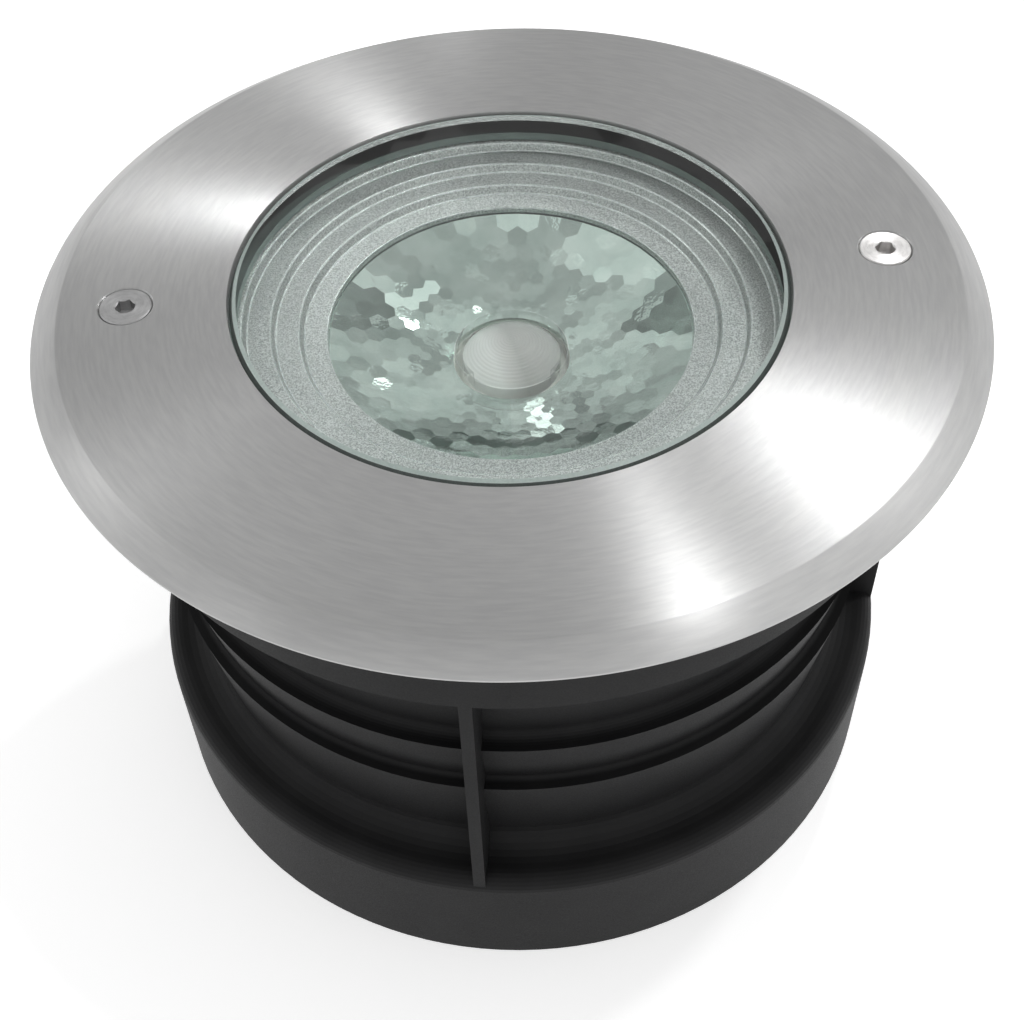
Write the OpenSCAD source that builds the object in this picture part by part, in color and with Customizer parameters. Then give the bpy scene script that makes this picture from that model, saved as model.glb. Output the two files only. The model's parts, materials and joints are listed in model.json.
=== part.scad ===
// Round recessed ground light: a stainless steel cover ring with flush glass, a stepped bezel and a
// facetted reflector in a finned lamp body, which lifts out of a ribbed plastic installation sleeve.
// The origin is on the axis, on the ground under the sleeve. +Z points up, through the glass.

/* [Cover ring] */
// Outer diameter of the cover ring
ring_d = 210; // [202:1:230]
// Thickness of the cover ring
ring_t = 4.5; // [4:0.5:6]
// Thickness left at the ring's outer rim, under the bevel
ring_rim_t = 0.5; // [0.3:0.1:1.5]
// Width of the bevel round the ring
ring_bevel_w = 6.2; // [3:0.1:7]
// Width of the ring, from its outer rim to the opening that the glass fills
ring_w = 43; // [41:0.5:46]
// How far the ring reaches past the sleeve's collar
ring_reach = 10.6; // [6:0.1:13]

/* [Fixing screws] */
// Distance from the ring's outer rim to the axis of a fixing screw
screw_inset = 21; // [20:0.1:22]
// Angle of the line through the two screws, from the X axis
screw_angle = 3.8; // [-10:0.1:10]
// Thread diameter of a fixing screw
screw_d = 6; // [5:0.5:6]
// Length of a fixing screw, head included
screw_l = 25; // [24:0.5:26]
// Diameter of the countersunk head
screw_head_d = 11.5; // [10:0.1:12]
// Width across the flats of the hexagon socket
screw_hex = 4; // [3:0.5:5]
// Depth of the hexagon socket
screw_hex_depth = 2.6; // [1.5:0.1:3]
// Height of the cylindrical land above the cone of the head
screw_land_h = 0.4; // [0.2:0.1:0.8]
// Diameter of the captive washer on the screw's shank
washer_d = 9.8; // [9:0.1:10]
// Thickness of the captive washer
washer_t = 1.2; // [0.8:0.1:1.6]
// Diameter of the brass insert
insert_d = 8.6; // [8:0.1:9]
// Length of the brass insert
insert_l = 8; // [6:0.5:8]

/* [Glass] */
// Thickness of the glass
glass_t = 12; // [10:0.5:13]
// Width of the flange that the ring holds down
glass_flange_w = 4.8; // [3:0.1:5.5]
// Thickness of the gasket above the glass flange
gasket_top_t = 1; // [0.6:0.1:1.5]
// Thickness of the gasket under the glass
gasket_bottom_t = 2; // [1.5:0.1:2.5]
// Thickness of the gasket round the glass
gasket_side_t = 2; // [1:0.1:2.5]

/* [Bezel] */
// Number of steps between the glass and the reflector
bezel_steps = 3; // [2:1:4]
// Width of the bezel, from the ring's opening to the reflector
bezel_w = 20.8; // [18:0.1:24]
// Wall of the bezel
bezel_t = 1.5; // [1:0.1:2]
// Height of one riser
riser_h = 2.1; // [1.4:0.1:2.3]
// Width that one sloping riser takes up
riser_w = 0.8; // [0.3:0.1:1.2]
// How much each tread rises towards the axis
tread_rise = 0.4; // [0:0.1:0.8]

/* [Reflector] */
// Diameter of the reflector's neck, where the lens stands
neck_d = 27; // [26.8:0.1:30]
// Facets in one row
facets_round = 48; // [40:2:56]
// Rows of facets from the rim to the neck
facet_rows = 10; // [8:1:12]
// Slope of the outermost facets, in degrees
rim_slope = 24; // [20:1:28]
// Wall of the reflector
reflector_t = 1.2; // [0.8:0.1:1.6]
// Width of the flat flange round the reflector's rim
reflector_flange_w = 2.6; // [1.5:0.1:4]

/* [Lens and LED] */
// Diameter of the lens
lens_d = 22.6; // [20:0.1:22.8]
// Height of the lens's dome
lens_dome_h = 5; // [3:0.1:7]
// Height of the cylinder under the dome
lens_base_h = 3.5; // [2.5:0.1:4.5]
// Diameter of the clear collar round the lens
lens_collar_d = 26.2; // [25.6:0.1:26.4]
// Height of the clear collar
lens_collar_h = 5.6; // [5:0.1:9]
// Number of slots in the clear collar
collar_slots = 4; // [2:1:6]
// Width of one slot
collar_slot_w = 1.6; // [0.8:0.1:3]
// Outer diameter of the LED holder
holder_d = 36; // [34:0.5:40]
// Height of the LED holder
holder_h = 5; // [4:0.1:6]
// Diameter of the LED circuit board
board_d = 34; // [32:0.5:40]
// Thickness of the LED circuit board
board_t = 1.6; // [1:0.1:2]
// Diameter of the yellow emitter
emitter_d = 14; // [8:0.5:18]
// Thickness of the emitter
emitter_t = 0.6; // [0.4:0.1:1]

/* [Lamp body] */
// Height of the lamp body's bottom above the ground
cable_room = 38; // [37:0.5:44]
// Wall of the lamp body
body_wall = 3.5; // [2.5:0.1:4]
// Thickness of the flange that stands on the sleeve
flange_t = 4; // [3:0.5:4.5]
// Number of cooling fins
fin_count = 24; // [12:2:30]
// Thickness of a cooling fin
fin_t = 2.2; // [1.5:0.1:3]
// Thickness of the heat plate
plate_t = 5; // [4:0.5:6]
// Height of the ribs under the heat plate
plate_rib_h = 5; // [3:0.5:6]
// Thickness of the rear cover
cover_t = 4; // [3.5:0.1:5]

/* [Driver] */
// Room between an end of the driver and the lamp body's wall
driver_room = 19.4; // [17:0.1:28]
// Width of the driver
driver_w = 32; // [24:1:38]
// Height of the driver
driver_h = 20; // [16:0.5:21]
// Thickness of the driver's bracket
bracket_t = 1.5; // [1:0.1:2]
// Length of the terminal block
block_l = 34; // [24:1:40]
// Width of the terminal block
block_w = 16; // [12:1:20]
// Height of the terminal block
block_h = 10; // [8:0.5:11]

/* [Cable gland] */
// Thread diameter of the gland in the rear cover
gland_d = 20; // [16:0.5:20]
// Width across the flats of the gland and its nut
gland_hex = 24; // [23.5:0.5:26]
// Diameter of the cable that the seal takes
cable_d = 8.5; // [6:0.1:9]
// Height of the cap nut
nut_h = 14; // [12:0.5:15]

/* [Sleeve] */
// Height of the sleeve
sleeve_h = 130.2; // [128:0.2:145]
// Height of the collar
collar_h = 23.8; // [22:0.2:30]
// How far the waist's wall lies inside the collar
waist_inset = 11.9; // [10:0.1:13]
// How far the upper edges of the two bands stand out from the waist
band_w = 4; // [2:0.1:6]
// Distance from the sleeve's top to the upper band's edge
band_drop = 51.7; // [46:0.1:56]
// Distance between the edges of the two bands
band_pitch = 15.5; // [12:0.1:18]
// How far the base lies inside the collar
base_inset = 0.4; // [0.1:0.1:4]
// Height of the base
base_h = 33.7; // [28:0.1:36]
// Wall of the sleeve
sleeve_wall = 3; // [2:0.1:3.5]
// Thickness of the four outer ribs
rib_t = 2.8; // [2:0.1:4]
// Angle of the front rib, from the photo's front to the left
rib_turn = 7; // [0:0.5:20]
// Width of the cable notch at the back
notch_w = 30; // [20:1:40]
// Height of the cable notch at the back
notch_h = 24; // [18:1:26]

/* [Hidden] */
$fn = 96;
// Overrun of a cut past the face that it opens
cut = 1;
// Gap between pieces that lie against each other on different bodies
seat_gap = 0.3;
// Gap between pieces that are put together and don't move
fit_gap = 0.2;
// Radial clearance of a thread, shaft or pressed piece
thread_gap = 0.05;
// Points in one rounded corner of an outline
corner_n = 6;

// The ring's opening and the circle through the two fixing screws
opening_d = ring_d - 2 * ring_w;
screw_pcd = ring_d - 2 * screw_inset;

// Heights, from the ring down
under_z = sleeve_h + seat_gap;
face_z = under_z + ring_t;
flange_z = under_z - flange_t;
glass_z = face_z - glass_t;
gasket_z = glass_z - gasket_bottom_t;
bezel_z = gasket_z - fit_gap;
tread_z = bezel_z - riser_h;
bezel_drop = bezel_steps * riser_h - (bezel_steps - 1) * tread_rise;
bezel_low_z = bezel_z - bezel_drop - bezel_t;
reflector_z = bezel_low_z - fit_gap;

// Facet corners. Corners of ring j lie at radius corner_r(j); two rings of corners make one row.
rim_r = opening_d / 2 - bezel_w;
neck_r = neck_d / 2;
facet_half = 180 / facets_round;
side_share = 2 / 3;
row_ratio = pow(neck_r / rim_r, 1 / (facet_rows - 1 + side_share));
corner_rings = 2 * facet_rows;
function row_r(k) = rim_r * pow(row_ratio, k);
function corner_r(j) =
    j == corner_rings - 1 ? neck_r
    : j % 2 == 0 ? row_r(j / 2)
    : row_r((j - 1) / 2) * (1 - side_share) + row_r((j + 1) / 2) * side_share;
// Slope of the facets of row k. All corners of a facet are in one plane, which sets the next slope.
function row_slope(k) =
    k == 0 ? tan(rim_slope)
    : row_slope(k - 1) * (corner_r(2 * k - 1) * cos(facet_half) - corner_r(2 * k))
        / (corner_r(2 * k - 1) - corner_r(2 * k) * cos(facet_half));
// Depth of corner ring j under the rim
function row_depth(k) =
    k == 0 ? 0
    : row_depth(k - 1) + row_slope(k - 1) * (corner_r(2 * k - 2) * cos(facet_half) - corner_r(2 * k));
function corner_depth(j) =
    j % 2 == 0 ? row_depth(j / 2)
    : row_depth((j - 1) / 2)
        + row_slope((j - 1) / 2) * (corner_r(j - 1) - corner_r(j)) * cos(facet_half);

reflector_depth = corner_depth(corner_rings - 1);
holder_top_z = reflector_z - reflector_depth - reflector_t;
board_top_z = holder_top_z - holder_h;
plate_top_z = board_top_z - board_t;
plate_z = plate_top_z - plate_t;
rib_z = plate_z - plate_rib_h;

// Lens and LED
lens_seat_depth = 1.5;
lens_seat_z = holder_top_z - lens_seat_depth;
collar_bore_d = lens_d + 2 * fit_gap;
seat_d = lens_collar_d + 2 * fit_gap;
holder_bore_share = 0.94;
holder_bore_d = lens_d * holder_bore_share;
dome_r = (pow(lens_d / 2, 2) + pow(lens_dome_h, 2)) / (2 * lens_dome_h);
holder_screw_d = 2;
holder_screw_head_d = 2.8;
holder_screw_head_h = 0.8;
holder_screw_grip = 3;
holder_screw_r = (seat_d + holder_d) / 4;

// Glass and its gasket
glass_r = opening_d / 2 - seat_gap;
glass_flange_r = glass_r + glass_flange_w;
glass_land_h = ring_t + gasket_top_t;
gasket_r = glass_flange_r + fit_gap + gasket_side_t;
gasket_lip = 0.8;
gasket_lip_r = glass_r - gasket_lip;

// Bezel
bezel_inset = 2.3;
bezel_flange_r = glass_flange_r - bezel_inset;
bezel_lip_w = 0.9;
bezel_edge_r = gasket_lip_r - bezel_lip_w;
bezel_mouth_r = rim_r + fit_gap;
step_w = (bezel_edge_r - bezel_mouth_r) / bezel_steps;

// Lamp body
body_recess_r = gasket_r + fit_gap;
neck_wall_share = 0.8;
neck_wall_r = body_recess_r + body_wall * neck_wall_share;
bezel_seat_r = bezel_flange_r + fit_gap;
plate_inset = 2;
plate_r = bezel_flange_r - plate_inset;
upper_bore_r = plate_r + fit_gap;
upper_wall_r = upper_bore_r + body_wall;
plate_ledge_w = 4;
lower_bore_r = upper_bore_r - plate_ledge_w;
lower_wall_r = lower_bore_r + body_wall;
flange_edge_w = 6;
flange_r = screw_pcd / 2 + flange_edge_w;
neck_h = 13;
neck_cone_h = 4;
fin_foot = 8;
fin_slope_h = 6;
fin_head = 3;
fin_r = neck_wall_r + 0.5 * fin_t;

// Small screws, by name of what they hold
ring_screw_count = 6;
ring_screw_d = 4;
ring_screw_depth = 3;
ring_screw_head_d = 7;
ring_screw_head_h = 2.4;
ring_screw_r = (body_recess_r + flange_r) / 2;
ring_screw_turn = 30;
plate_screw_count = 4;
plate_screw_d = 2.6;
plate_screw_head_d = 4;
plate_screw_head_h = 1.6;
plate_screw_grip = 8;
plate_screw_r = (lower_bore_r + upper_bore_r) / 2 - 0.5 * fit_gap;
cover_screw_count = 4;
cover_screw_d = 4;
cover_screw_head_d = 7;
cover_screw_head_h = 2.2;
cover_screw_grip = 10;
cover_boss_d = 9;
cover_boss_h = 13;
cover_screw_r = lower_bore_r - cover_boss_d / 2;
cover_screw_turn = 45;
socket_share = 0.5;
socket_depth_share = 0.6;

// Rear cover, its seal and the valve
cover_low_z = cable_room - cover_t;
seal_w = 1.8;
seal_h = 1.4;
seal_r = (lower_bore_r + lower_wall_r) / 2;
valve_d = 8;
valve_head_d = 15;
valve_head_h = 4;
valve_share = -0.6;
valve_x = lower_bore_r * valve_share;

// Driver, bracket, terminal block and leads
bracket_foot_l = 8;
bracket_w_share = 0.6;
bracket_w = driver_w * bracket_w_share;
driver_l = 2 * (lower_bore_r - driver_room);
bracket_reach = driver_l / 2 + fit_gap;
driver_z = rib_z - fit_gap - driver_h;
bracket_z = driver_z - bracket_t;
bracket_screw_d = 3;
bracket_screw_head_d = 5.5;
bracket_screw_head_h = 1.8;
bracket_screw_grip = 3;
plate_rib_t = 1.8;
plate_rib_pitch = 6;
rib_reach = bracket_reach;
plate_rib_n = floor((rib_reach - plate_rib_t) / plate_rib_pitch);
block_ways = 3;
block_hole_d = 3.6;
block_screw_share = 0.3;
lead_d = 1.6;
lead_sides = 24;
lead_bend_r = 2.4;
lead_pitch = 5;
lead_y = holder_d / 2 + fit_gap + lead_bend_r;
lead_hole_d = 3;
block_gap = 1;
block_y = -(driver_w + block_w) / 2 - block_gap;

// Gland
gland_x = 0;
gland_y_share = 0.42;
gland_y = lower_bore_r * gland_y_share;
gland_flange_h = 5;
gland_washer_t = 1.2;
locknut_h = 5;
locknut_grow = 2;
gland_flange_z = cover_low_z - gland_washer_t - gland_flange_h;
gland_stem_h = 9;
gland_stem_share = 0.72;
gland_stem_d = gland_hex * gland_stem_share;
seal_d_share = 0.8;
gland_seal_d = gland_stem_d * seal_d_share;
gland_seal_h = 10;
gland_seal_drop = 1.5;
cable_play = 1;
nut_mouth_d = cable_d + cable_play;
nut_top_z = gland_flange_z - seat_gap;
nut_z = nut_top_z - nut_h;
nut_cone_share = 0.3;

// Sleeve
front_angle = -90;
collar_r = ring_d / 2 - ring_reach;
waist_r = collar_r - waist_inset;
band_r = waist_r + band_w;
base_r = collar_r - base_inset;
collar_z = sleeve_h - collar_h;
shoulder_w = 1.5;
shoulder_r = waist_r + shoulder_w;
band_top_z = sleeve_h - band_drop;
band_low_z = band_top_z - band_pitch;
band_taper = 3;
ledge_fillet = 2.5;
base_fillet = 6;
base_round = 4;
sleeve_bore_r = waist_r - sleeve_wall;
recess_r = collar_r - sleeve_wall;
seat_z = flange_z - seat_gap;
gusset_count = 12;
gusset_t = 2.5;
rib_inset = 0.4;
rib_edge_r = base_r - rib_inset;
rib_count = 4;
boss_d = 12.4;
boss_bore_d = washer_d + 2 * seat_gap;
rim_round = 0.8;

// Fixing screws
screw_r = screw_pcd / 2;
screw_tip_z = face_z - screw_l;
screw_seat_gap = 0.2;
screw_hole_d = screw_d + 2 * seat_gap;
screw_cone_h = (screw_head_d - screw_d) / 2;
insert_floor = 1.8;
insert_low_z = collar_z + insert_floor;
insert_top_z = insert_low_z + insert_l;
washer_lift = 0.8;
washer_z = insert_top_z + washer_lift;

// Points of an arc in an outline, from angle a0 to angle a1
function arc(x, y, r, a0, a1) =
    [for (i = [0:corner_n]) [x + r * cos(a0 + (a1 - a0) * i / corner_n),
                             y + r * sin(a0 + (a1 - a0) * i / corner_n)]];

// Copies the children round the axis
module around(count, start = 0) {
    for (i = [0:count - 1])
        rotate([0, 0, start + i * 360 / count]) children();
}

// Copies the children to the two fixing screws
module at_screw(side) {
    rotate([0, 0, screw_angle + (side == "right" ? 0 : 180)])
        translate([screw_r, 0, 0]) children();
}

// A plain tube or disc that stands on z
module tube(z, h, outer_d, inner_d = 0) {
    translate([0, 0, z]) difference() {
        cylinder(h = h, d = outer_d);
        if (inner_d > 0)
            translate([0, 0, -cut]) cylinder(h = h + 2 * cut, d = inner_d);
    }
}

// A hexagon bar by its width across the flats
module hexagon(z, h, flats) {
    translate([0, 0, z]) cylinder(h = h, d = flats / cos(30), $fn = 6);
}

// A socket head screw that points down from z, with the head above
module cap_screw(z, d, head_d, head_h, grip) {
    difference() {
        union() {
            tube(z, head_h, head_d);
            tube(z - grip, grip + 0.5 * head_h, d);
        }
        hexagon(z + head_h * (1 - socket_depth_share), head_h, head_d * socket_share);
    }
}

// Sleeve

// The outline from the collar's top down to the foot, outside, then up again inside
function sleeve_outline() = concat(
    arc(collar_r - rim_round, sleeve_h - rim_round, rim_round, 90, 0),
    [[collar_r, collar_z], [shoulder_r, collar_z]],
    arc(waist_r + ledge_fillet, band_top_z + ledge_fillet, ledge_fillet, 180, 270),
    [[band_r, band_top_z]],
    arc(band_r - band_taper + ledge_fillet * 0.5, band_low_z + ledge_fillet * 0.5,
        ledge_fillet * 0.5, 180, 270),
    [[band_r, band_low_z]],
    arc(waist_r + base_fillet, base_h + base_fillet, base_fillet, 180, 270),
    arc(base_r - base_round, base_h - base_round, base_round, 90, 0),
    [[base_r, 0], [base_r - sleeve_wall, 0], [base_r - sleeve_wall, base_h - sleeve_wall],
     [sleeve_bore_r, base_h - sleeve_wall], [sleeve_bore_r, collar_z + sleeve_wall],
     [recess_r, collar_z + sleeve_wall], [recess_r, sleeve_h]]
);

module outer_rib() {
    rotate([90, 0, 0]) translate([0, 0, -rib_t / 2]) linear_extrude(rib_t)
        polygon([
            [sleeve_bore_r + sleeve_wall / 2, base_h - sleeve_wall / 2],
            [rib_edge_r, base_h - base_round],
            [rib_edge_r, collar_z + sleeve_wall / 2],
            [sleeve_bore_r + sleeve_wall / 2, collar_z + sleeve_wall / 2]
        ]);
}

module gusset() {
    translate([sleeve_bore_r, -gusset_t / 2, collar_z + sleeve_wall / 2])
        cube([recess_r + sleeve_wall / 2 - sleeve_bore_r, gusset_t, seat_z - collar_z - sleeve_wall / 2]);
}

module cable_notch() {
    translate([0, waist_r, 0]) rotate([-90, 0, 0]) {
        linear_extrude(base_r) polygon([
            [-notch_w / 2, cut], [notch_w / 2, cut],
            [notch_w / 2, -(notch_h - notch_w / 2)], [-notch_w / 2, -(notch_h - notch_w / 2)]
        ]);
        translate([0, -(notch_h - notch_w / 2), 0]) cylinder(h = base_r, d = notch_w);
    }
}

module sleeve() {
    color("#26272a") difference() {
        union() {
            rotate_extrude() polygon(sleeve_outline());
            around(rib_count, front_angle - rib_turn) outer_rib();
            around(gusset_count, screw_angle + 180 / gusset_count) gusset();
            for (side = ["right", "left"])
                at_screw(side) {
                    tube(collar_z + sleeve_wall / 2, seat_z - collar_z - sleeve_wall / 2, boss_d);
                    translate([0, -gusset_t / 2, collar_z + sleeve_wall / 2])
                        cube([recess_r + sleeve_wall / 2 - screw_r, gusset_t,
                              seat_z - collar_z - sleeve_wall / 2]);
                }
        }
        for (side = ["right", "left"])
            at_screw(side) {
                translate([0, 0, insert_top_z]) cylinder(h = seat_z - insert_top_z + cut, d = boss_bore_d);
                translate([0, 0, insert_low_z])
                    cylinder(h = insert_l + cut, d = insert_d + 2 * thread_gap);
            }
        cable_notch();
    }
}

module thread_inserts() {
    color("#b08d45")
        for (side = ["right", "left"])
            at_screw(side) tube(insert_low_z, insert_l, insert_d, screw_d + 2 * thread_gap);
}

// Cover ring, glass and gasket

module screw_seat(gap, hole_d) {
    head_r = screw_head_d / 2 + gap;
    translate([0, 0, face_z - screw_land_h]) cylinder(h = screw_land_h + cut, r = head_r);
    translate([0, 0, face_z - screw_land_h - screw_cone_h])
        cylinder(h = screw_cone_h, r1 = head_r - screw_cone_h, r2 = head_r);
    translate([0, 0, under_z - cut]) cylinder(h = ring_t + cut - screw_land_h, d = hole_d);
}

module cover_ring() {
    ring_r = ring_d / 2;
    color("#b9babb") difference() {
        rotate_extrude() polygon([
            [opening_d / 2, under_z], [ring_r, under_z], [ring_r, under_z + ring_rim_t],
            [ring_r - ring_bevel_w, face_z], [opening_d / 2, face_z]
        ]);
        for (side = ["right", "left"])
            at_screw(side) screw_seat(screw_seat_gap, screw_hole_d);
        around(ring_screw_count, ring_screw_turn)
            translate([ring_screw_r, 0, under_z - cut])
                cylinder(h = ring_screw_depth + cut, d = ring_screw_d + 2 * thread_gap);
    }
}

module glass() {
    color([0.72, 0.83, 0.78, 0.4]) rotate_extrude() polygon([
        [0, glass_z], [glass_flange_r, glass_z], [glass_flange_r, face_z - glass_land_h],
        [glass_r, face_z - glass_land_h], [glass_r, face_z], [0, face_z]
    ]);
}

module glass_gasket() {
    side_r = glass_flange_r + fit_gap;
    land_r = glass_r + fit_gap;
    top_z = face_z - glass_land_h;
    color("#1c1f1e") rotate_extrude() polygon([
        [gasket_lip_r, gasket_z], [gasket_r, gasket_z], [gasket_r, under_z], [land_r, under_z],
        [land_r, top_z], [side_r, top_z], [side_r, glass_z], [gasket_lip_r, glass_z]
    ]);
}

// Bezel and reflector

// The upper side of the bezel, from its flange in to its mouth
function bezel_top() = concat(
    [[bezel_flange_r, bezel_z], [bezel_edge_r, bezel_z]],
    [for (i = [0:bezel_steps - 1]) each [
        [bezel_edge_r - i * step_w - riser_w, tread_z - i * (riser_h - tread_rise)],
        [bezel_edge_r - (i + 1) * step_w,
         tread_z - i * (riser_h - tread_rise) + (i < bezel_steps - 1 ? tread_rise : 0)]
    ]]
);

module bezel() {
    low_z = bezel_low_z;
    color("#9aa09e") rotate_extrude() polygon(concat(
        bezel_top(),
        [[bezel_mouth_r, low_z]],
        [for (i = [bezel_steps - 1:-1:0])
            [bezel_edge_r - i * step_w - riser_w + bezel_t,
             tread_z - i * (riser_h - tread_rise) - bezel_t]],
        [[bezel_edge_r + bezel_t, bezel_z - bezel_t], [bezel_flange_r, bezel_z - bezel_t]]
    ));
}

// Point i of corner ring j, lowered by drop
function corner(j, i, drop) =
    let (a = (2 * i + (floor(j / 2) % 2 == 0 ? 1 : 0)) * facet_half)
    [corner_r(j) * cos(a), corner_r(j) * sin(a), reflector_z - corner_depth(j) - drop];

// Index of point i of corner ring j on the upper skin
function at(j, i) = j * facets_round + (i + facets_round) % facets_round;

// The facet of row k that is centred on corner i; the first and last rows lack one corner
function facet(k, i) =
    let (odd = k % 2, left = i - 1 + odd, right = i + odd)
    concat(
        k > 0 ? [at(2 * k - 1, i)] : [],
        [at(2 * k, left), at(2 * k + 1, left)],
        k < facet_rows - 1 ? [at(2 * k + 2, i)] : [],
        [at(2 * k + 1, right), at(2 * k, right)]
    );

function reversed(list) = [for (i = [len(list) - 1:-1:0]) list[i]];

module reflector() {
    n = facets_round;
    skin = corner_rings * n;
    edge = 2 * skin;
    flange_edge_r = rim_r + reflector_flange_w;
    top = [for (k = [0:facet_rows - 1], i = [0:n - 1]) facet(k, i)];
    neck = corner_rings - 1;
    color("#c9d2cf") polyhedron(
        points = concat(
            [for (drop = [0, reflector_t], j = [0:neck], i = [0:n - 1]) corner(j, i, drop)],
            [for (drop = [0, reflector_t], i = [0:n - 1])
                let (a = (2 * i + 1) * facet_half)
                [flange_edge_r * cos(a), flange_edge_r * sin(a), reflector_z - drop]]
        ),
        faces = concat(
            top,
            [for (f = top) reversed([for (p = f) p + skin])],
            [for (i = [0:n - 1]) [at(neck, i + 1), at(neck, i), at(neck, i) + skin, at(neck, i + 1) + skin]],
            [for (i = [0:n - 1]) [at(0, i), at(0, i + 1), edge + (i + 1) % n, edge + i]],
            [for (i = [0:n - 1])
                [at(0, i + 1) + skin, at(0, i) + skin, edge + n + i, edge + n + (i + 1) % n]],
            [for (i = [0:n - 1]) [edge + i, edge + (i + 1) % n, edge + n + (i + 1) % n, edge + n + i]]
        )
    );
}

// Lens and LED

module lens() {
    color([0.85, 0.86, 0.84, 0.7]) union() {
        tube(lens_seat_z, lens_base_h, lens_d);
        intersection() {
            translate([0, 0, lens_seat_z + lens_base_h + lens_dome_h - dome_r]) sphere(r = dome_r);
            tube(lens_seat_z + lens_base_h, lens_dome_h + cut, lens_d);
        }
    }
}

module lens_collar() {
    color([0.8, 0.88, 0.86, 0.5]) difference() {
        tube(lens_seat_z, lens_collar_h, lens_collar_d, collar_bore_d);
        around(collar_slots, 45)
            translate([0, -collar_slot_w / 2, lens_seat_z + lens_collar_h / 2])
                cube([lens_collar_d, collar_slot_w, lens_collar_h]);
    }
}

module at_holder_screws() {
    for (x = [-1, 1])
        translate([x * holder_screw_r, 0, 0]) children();
}

module led_holder() {
    color("#e8e8e4") difference() {
        tube(board_top_z, holder_h, holder_d, holder_bore_d);
        tube(lens_seat_z, lens_seat_depth + cut, seat_d);
        at_holder_screws() {
            tube(board_top_z - cut, holder_h + 2 * cut, holder_screw_d + 2 * fit_gap);
            tube(holder_top_z - holder_screw_head_h, holder_screw_head_h + cut,
                 holder_screw_head_d + 2 * fit_gap);
        }
    }
}

module holder_screws() {
    head_z = holder_top_z - holder_screw_head_h;
    color("#c8c8ca")
        at_holder_screws()
            cap_screw(head_z, holder_screw_d, holder_screw_head_d, holder_screw_head_h - fit_gap,
                      head_z - plate_top_z + holder_screw_grip);
}

module led_board() {
    color("#e9ecee") difference() {
        tube(plate_top_z, board_t, board_d);
        at_holder_screws() tube(plate_top_z - cut, board_t + 2 * cut, holder_screw_d + 2 * fit_gap);
    }
}

module led_emitter() {
    color("#e6c542") tube(board_top_z, emitter_t, emitter_d);
}

// Heat plate and lamp body

module at_leads() {
    for (x = [-1, 1])
        translate([x * lead_pitch / 2, 0, 0]) children();
}

module heat_plate() {
    color("#a8abad") difference() {
        union() {
            tube(plate_z, plate_t, 2 * plate_r);
            intersection() {
                for (i = [-plate_rib_n:plate_rib_n])
                    translate([i * plate_rib_pitch - plate_rib_t / 2, -plate_r, rib_z])
                        cube([plate_rib_t, 2 * plate_r, plate_rib_h + plate_t / 2]);
                tube(rib_z - cut, plate_rib_h + plate_t, 2 * (lower_bore_r - plate_ledge_w));
            }
        }
        at_leads() translate([0, lead_y, 0]) tube(rib_z - cut, plate_top_z - rib_z + 2 * cut, lead_hole_d);
        at_holder_screws()
            tube(plate_top_z - holder_screw_grip - fit_gap, holder_screw_grip + cut,
                 holder_screw_d + 2 * thread_gap);
        around(plate_screw_count, cover_screw_turn)
            translate([plate_screw_r, 0, 0])
                tube(plate_z - cut, plate_t + 2 * cut, plate_screw_d + 2 * fit_gap);
        at_bracket_screws()
            tube(plate_z - cut, bracket_screw_grip + cut + fit_gap, bracket_screw_d + 2 * thread_gap);
    }
}

module plate_screws() {
    color("#c8c8ca") around(plate_screw_count, cover_screw_turn) translate([plate_screw_r, 0, 0])
        cap_screw(plate_top_z, plate_screw_d, plate_screw_head_d, plate_screw_head_h, plate_screw_grip);
}

module cooling_fin() {
    rotate([90, 0, 0]) translate([0, 0, -fin_t / 2]) linear_extrude(fin_t)
        polygon([
            [lower_bore_r + body_wall / 2, cable_room + fin_foot],
            [fin_r, cable_room + fin_foot + fin_slope_h],
            [fin_r, flange_z - fin_head],
            [lower_bore_r + body_wall / 2, flange_z - fin_head]
        ]);
}

module lamp_body() {
    color("#3a3c3f") difference() {
        union() {
            rotate_extrude() polygon([
                [lower_bore_r, cable_room], [lower_wall_r, cable_room],
                [lower_wall_r, plate_z - body_wall], [upper_wall_r, plate_z],
                [upper_wall_r, under_z - neck_h - neck_cone_h], [neck_wall_r, under_z - neck_h],
                [neck_wall_r, flange_z], [flange_r, flange_z], [flange_r, under_z],
                [body_recess_r, under_z], [body_recess_r, gasket_z], [bezel_seat_r, gasket_z],
                [bezel_seat_r, bezel_z - bezel_t], [upper_bore_r, bezel_z - bezel_t],
                [upper_bore_r, plate_z], [lower_bore_r, plate_z]
            ]);
            difference() {
                around(fin_count, 180 / fin_count) cooling_fin();
                tube(cable_room, flange_z - cable_room, 2 * (lower_bore_r + body_wall / 2));
                tube(plate_z - body_wall / 2, flange_z - plate_z, 2 * (upper_bore_r + body_wall / 2));
                tube(gasket_z - body_wall / 2, flange_z - gasket_z, 2 * (body_recess_r + fit_gap));
            }
            around(cover_screw_count, cover_screw_turn)
                translate([cover_screw_r, 0, 0]) tube(cable_room, cover_boss_h, cover_boss_d);
        }
        for (side = ["right", "left"])
            at_screw(side) tube(flange_z - cut, flange_t + 2 * cut, screw_hole_d);
        around(ring_screw_count, ring_screw_turn)
            translate([ring_screw_r, 0, 0])
                tube(flange_z - cut, flange_t + 2 * cut, ring_screw_d + 2 * fit_gap);
        around(plate_screw_count, cover_screw_turn)
            translate([plate_screw_r, 0, 0])
                tube(plate_top_z - plate_screw_grip - fit_gap, plate_screw_grip,
                     plate_screw_d + 2 * thread_gap);
        around(cover_screw_count, cover_screw_turn)
            translate([cover_screw_r, 0, 0])
                tube(cable_room - cut, cover_screw_grip + cut + fit_gap, cover_screw_d + 2 * thread_gap);
    }
}

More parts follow.
